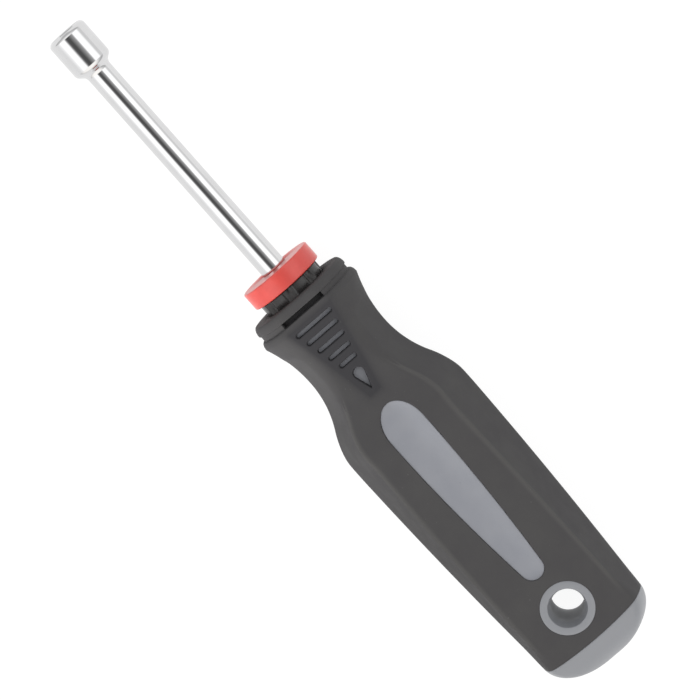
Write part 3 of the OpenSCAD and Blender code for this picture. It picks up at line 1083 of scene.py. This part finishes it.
def hanging_eyelet():
    """Lining of the hanging hole, with a flared mouth on both faces."""
    angle = ring_angles(EYELET_COLUMNS)
    level = float(face_z(np.array(HOLE_Q)))
    profile = list(EYELET_RIM)
    for u in np.linspace(*FLARE_ROWS):
        profile.append((HOLE_R + (HOLE_MOUTH_R - HOLE_R) * (1 - u) ** HOLE_POWER, -HOLE_FLARE * u))
    rows = []
    for r, height in profile:
        q = HOLE_Q + r * np.cos(angle)
        rows.append(np.stack([q, r * np.sin(angle), face_z(q) + height], 1))
    bore_q, bore_y = HOLE_Q + HOLE_R * np.cos(angle), HOLE_R * np.sin(angle)
    for z in np.linspace(level - HOLE_FLARE - BORE_LEAD, BORE_LAST, BORE_ROWS):
        rows.append(np.stack([bore_q, bore_y, np.full_like(bore_q, z)], 1))
    rows = np.array(rows)
    rows = np.concatenate([rows, rows[::-1] * [1, 1, -1]])
    points, faces = loft(rows, ring=True)
    # Painted shade: the hole's wall darkens from its mouths towards its middle
    deep = np.clip((level - np.abs(points[:, 2])) / (SHADE_REACH * HOLE_FLARE), 0, 1)
    shade = HOLE_SHADE * deep * over_hole(points, HOLE_MOUTH_R)
    add_piece(
        "grey_eyelet", points, faces, GREY, "grey_plastic", "hanging_eyelet", deep=shade, neutral=1.0
    )


CAP_SEAM = 0.05
# Shares of the joint's section at the cap's hidden front and at its edge
CAP_FRONT = 0.9
CAP_EDGE = 0.994
# First angle, last angle and count of the rows over the dome
CAP_ROWS = (0.6, 89.2, 44)


def end_cap():
    """Domed cap that follows the handle's section from the bulging joint to the end."""
    angle = column_angles()[::2]
    joint = skin(np.array([JOINT_Q]), angle)[0][0]
    front = joint * [1, CAP_FRONT, CAP_FRONT] + [CAP_SEAM, 0, 0]
    edge = joint * [1, CAP_EDGE, CAP_EDGE] + [2 * FINE, 0, 0]
    rows = [front, edge]
    for share in np.sin(np.radians(np.linspace(*CAP_ROWS))):
        q = joint[:, 0] + CAP_SEAM + (END_Q - joint[:, 0] - CAP_SEAM) * share
        y, z, _ = section(q, angle)
        rows.append(np.stack([q, y, z], 1))
    points, faces = loft(rows)
    add_piece("grey_end_cap", points, faces, GREY, "grey_plastic", "end_cap", neutral=1.0)


socket_shank()
size_ring()
handle_core()
rubber_grip()
inlays()
thumb_pads()
hanging_eyelet()
end_cap()


# Floor, light and camera

FLOOR_HALF = 6000
FLOOR_GREY = 0.14
FLOOR_GLOW = 0.92


def add_floor():
    low = -CREST_FACE
    ways = [(-1, -1), (1, -1), (1, 1), (-1, 1)]
    corners = [(x * FLOOR_HALF, y * FLOOR_HALF) for x, y in ways]
    mesh = bpy.data.meshes.new("floor")
    mesh.from_pydata([(x * MM, y * MM, low * MM) for x, y in corners], [], [(0, 1, 2, 3)])
    material, _, shader = new_material("floor_white", (FLOOR_GREY,) * 3, metallic=0.0, roughness=0.9)
    shader.inputs["Specular IOR Level"].default_value = 0.0
    shader.inputs["Emission Color"].default_value = (1, 1, 1, 1)
    shader.inputs["Emission Strength"].default_value = FLOOR_GLOW
    mesh.materials.append(material)
    floor = bpy.data.objects.new("floor", mesh)
    bpy.context.scene.collection.objects.link(floor)


# Brightness of the studio round the drive axis: [degrees from straight up towards +Y, brightness]
STUDIO = [
    (-180, 1.0), (-92, 1.0), (-84, 0.88), (-73, 0.9), (-64, 1.5), (-36, 1.6), (-28, 0.5), (-15, 0.26),
    (-4, 0.1), (10, 0.12), (16, 0.4), (23, 1.5), (50, 1.6), (60, 1.25), (72, 1.05), (180, 1.0),
]
STUDIO_PEAK = 1.6
# How far to either side of the tool's cross plane those bands reach, as a direction's share along the tool
BAND_REACH = (0.2, 0.32)
# Brightness elsewhere: [height of the direction from -1 to 1, brightness]
DOME = [(-1, 0.9), (0, 0.8), (0.15, 0.55), (0.7, 1.0), (1, 1.5)]
KEY_COLOR = (0.9, 0.88, 0.85)
# Direction of the middle of the key light, and how closely a direction must agree with it
KEY_FROM = Vector((-0.5, 0.3, 0.81)).normalized()
KEY_REACH = (0.45, 0.9)


def grey_ramp(tree, source, low, high, stops):
    """Ramp of grey brightness over a source that goes from low to high."""
    node = tree.nodes.new("ShaderNodeValToRGB")
    elements = node.color_ramp.elements
    elements.remove(elements[-1])
    for i, (value, bright) in enumerate(stops):
        place = (value - low) / (high - low)
        element = elements.new(place) if i else elements[0]
        element.position = place
        element.color = (bright / STUDIO_PEAK,) * 3 + (1,)
    tree.links.new(scaled(tree, source, low, high, 0, 1), node.inputs["Fac"])
    return node.outputs["Color"]


def math_node(tree, operation, *sources):
    """Result of an operation on one or more sources."""
    node = tree.nodes.new("ShaderNodeMath")
    node.operation = operation
    for source, socket in zip(sources, node.inputs):
        tree.links.new(source, socket)
    return node.outputs["Value"]


def add_world():
    world = bpy.data.worlds.new("studio")
    bpy.context.scene.world = world
    world.use_nodes = True
    tree = world.node_tree
    place = tree.nodes.new("ShaderNodeTexCoord")
    split = tree.nodes.new("ShaderNodeSeparateXYZ")
    tree.links.new(place.outputs["Generated"], split.inputs["Vector"])
    x, y, z = split.outputs
    turn = math_node(tree, "DEGREES", math_node(tree, "ARCTAN2", y, z))
    bands = grey_ramp(tree, turn, -180, 180, STUDIO)
    agree = tree.nodes.new("ShaderNodeVectorMath")
    agree.operation = "DOT_PRODUCT"
    agree.inputs[1].default_value = KEY_FROM
    tree.links.new(place.outputs["Generated"], agree.inputs[0])
    key = scaled(tree, agree.outputs["Value"], *KEY_REACH, 0, 1)
    dome = mix(tree, key, grey_ramp(tree, z, -1, 1, DOME), KEY_COLOR)
    beyond = scaled(tree, math_node(tree, "ABSOLUTE", x), *BAND_REACH, 0, 1)
    background = tree.nodes["Background"]
    background.inputs["Strength"].default_value = STUDIO_PEAK
    tree.links.new(mix(tree, beyond, bands, dome), background.inputs["Color"])


# Camera: its leans from straight above, the turn of the drive axis in the picture, and what it aims at
LEAN_X = math.radians(6.1)
LEAN_Y = math.radians(-7.5)
AXIS_TURN = math.radians(131.617)
AIM = (-100.0, 0.0, 0.0)
AIM_OFF = (-1.487, 2.526)
CAMERA_AWAY = 2000
PICTURE_WIDTH = 159.117
SENSOR = 36
# Range of the camera in metres
CLIP_M = (0.1, 100)


def add_camera():
    back = Vector((math.sin(LEAN_X), math.sin(LEAN_Y), 0))
    back.z = math.sqrt(1 - back.length_squared)
    along = (Vector((1, 0, 0)) - back * back.x).normalized()
    side = back.cross(along)
    right = along * math.cos(AXIS_TURN) - side * math.sin(AXIS_TURN)
    up = along * math.sin(AXIS_TURN) + side * math.cos(AXIS_TURN)
    aim = Vector(AIM) + right * AIM_OFF[0] + up * AIM_OFF[1]
    data = bpy.data.cameras.new("camera")
    data.sensor_width = SENSOR
    data.lens = SENSOR * CAMERA_AWAY / PICTURE_WIDTH
    data.clip_start, data.clip_end = CLIP_M
    camera = bpy.data.objects.new("camera", data)
    turn = Matrix((right, up, back)).transposed().to_4x4()
    camera.matrix_world = Matrix.Translation((aim + back * CAMERA_AWAY) * MM) @ turn
    bpy.context.scene.collection.objects.link(camera)
    bpy.context.scene.camera = camera


# Soft spot on the neck, from the side where the key light stands
SPOT_AT = (-220.0, 300.0, 60.0)
SPOT_AIM = (-88.0, 10.0, 0.0)
SPOT_WATTS = 4.4
SPOT_WIDTH = math.radians(12)
SPOT_SOFT = 30


def add_spot():
    data = bpy.data.lights.new("neck_spot", "SPOT")
    data.energy = SPOT_WATTS
    data.spot_size = SPOT_WIDTH
    data.spot_blend = 1.0
    data.shadow_soft_size = SPOT_SOFT * MM
    spot = bpy.data.objects.new("neck_spot", data)
    spot.location = Vector(SPOT_AT) * MM
    spot.rotation_euler = (Vector(SPOT_AIM) - Vector(SPOT_AT)).to_track_quat("-Z", "Y").to_euler()
    spot.visible_glossy = False
    bpy.context.scene.collection.objects.link(spot)


add_floor()
add_world()
add_spot()
add_camera()
bpy.context.scene.view_settings.view_transform = "Standard"
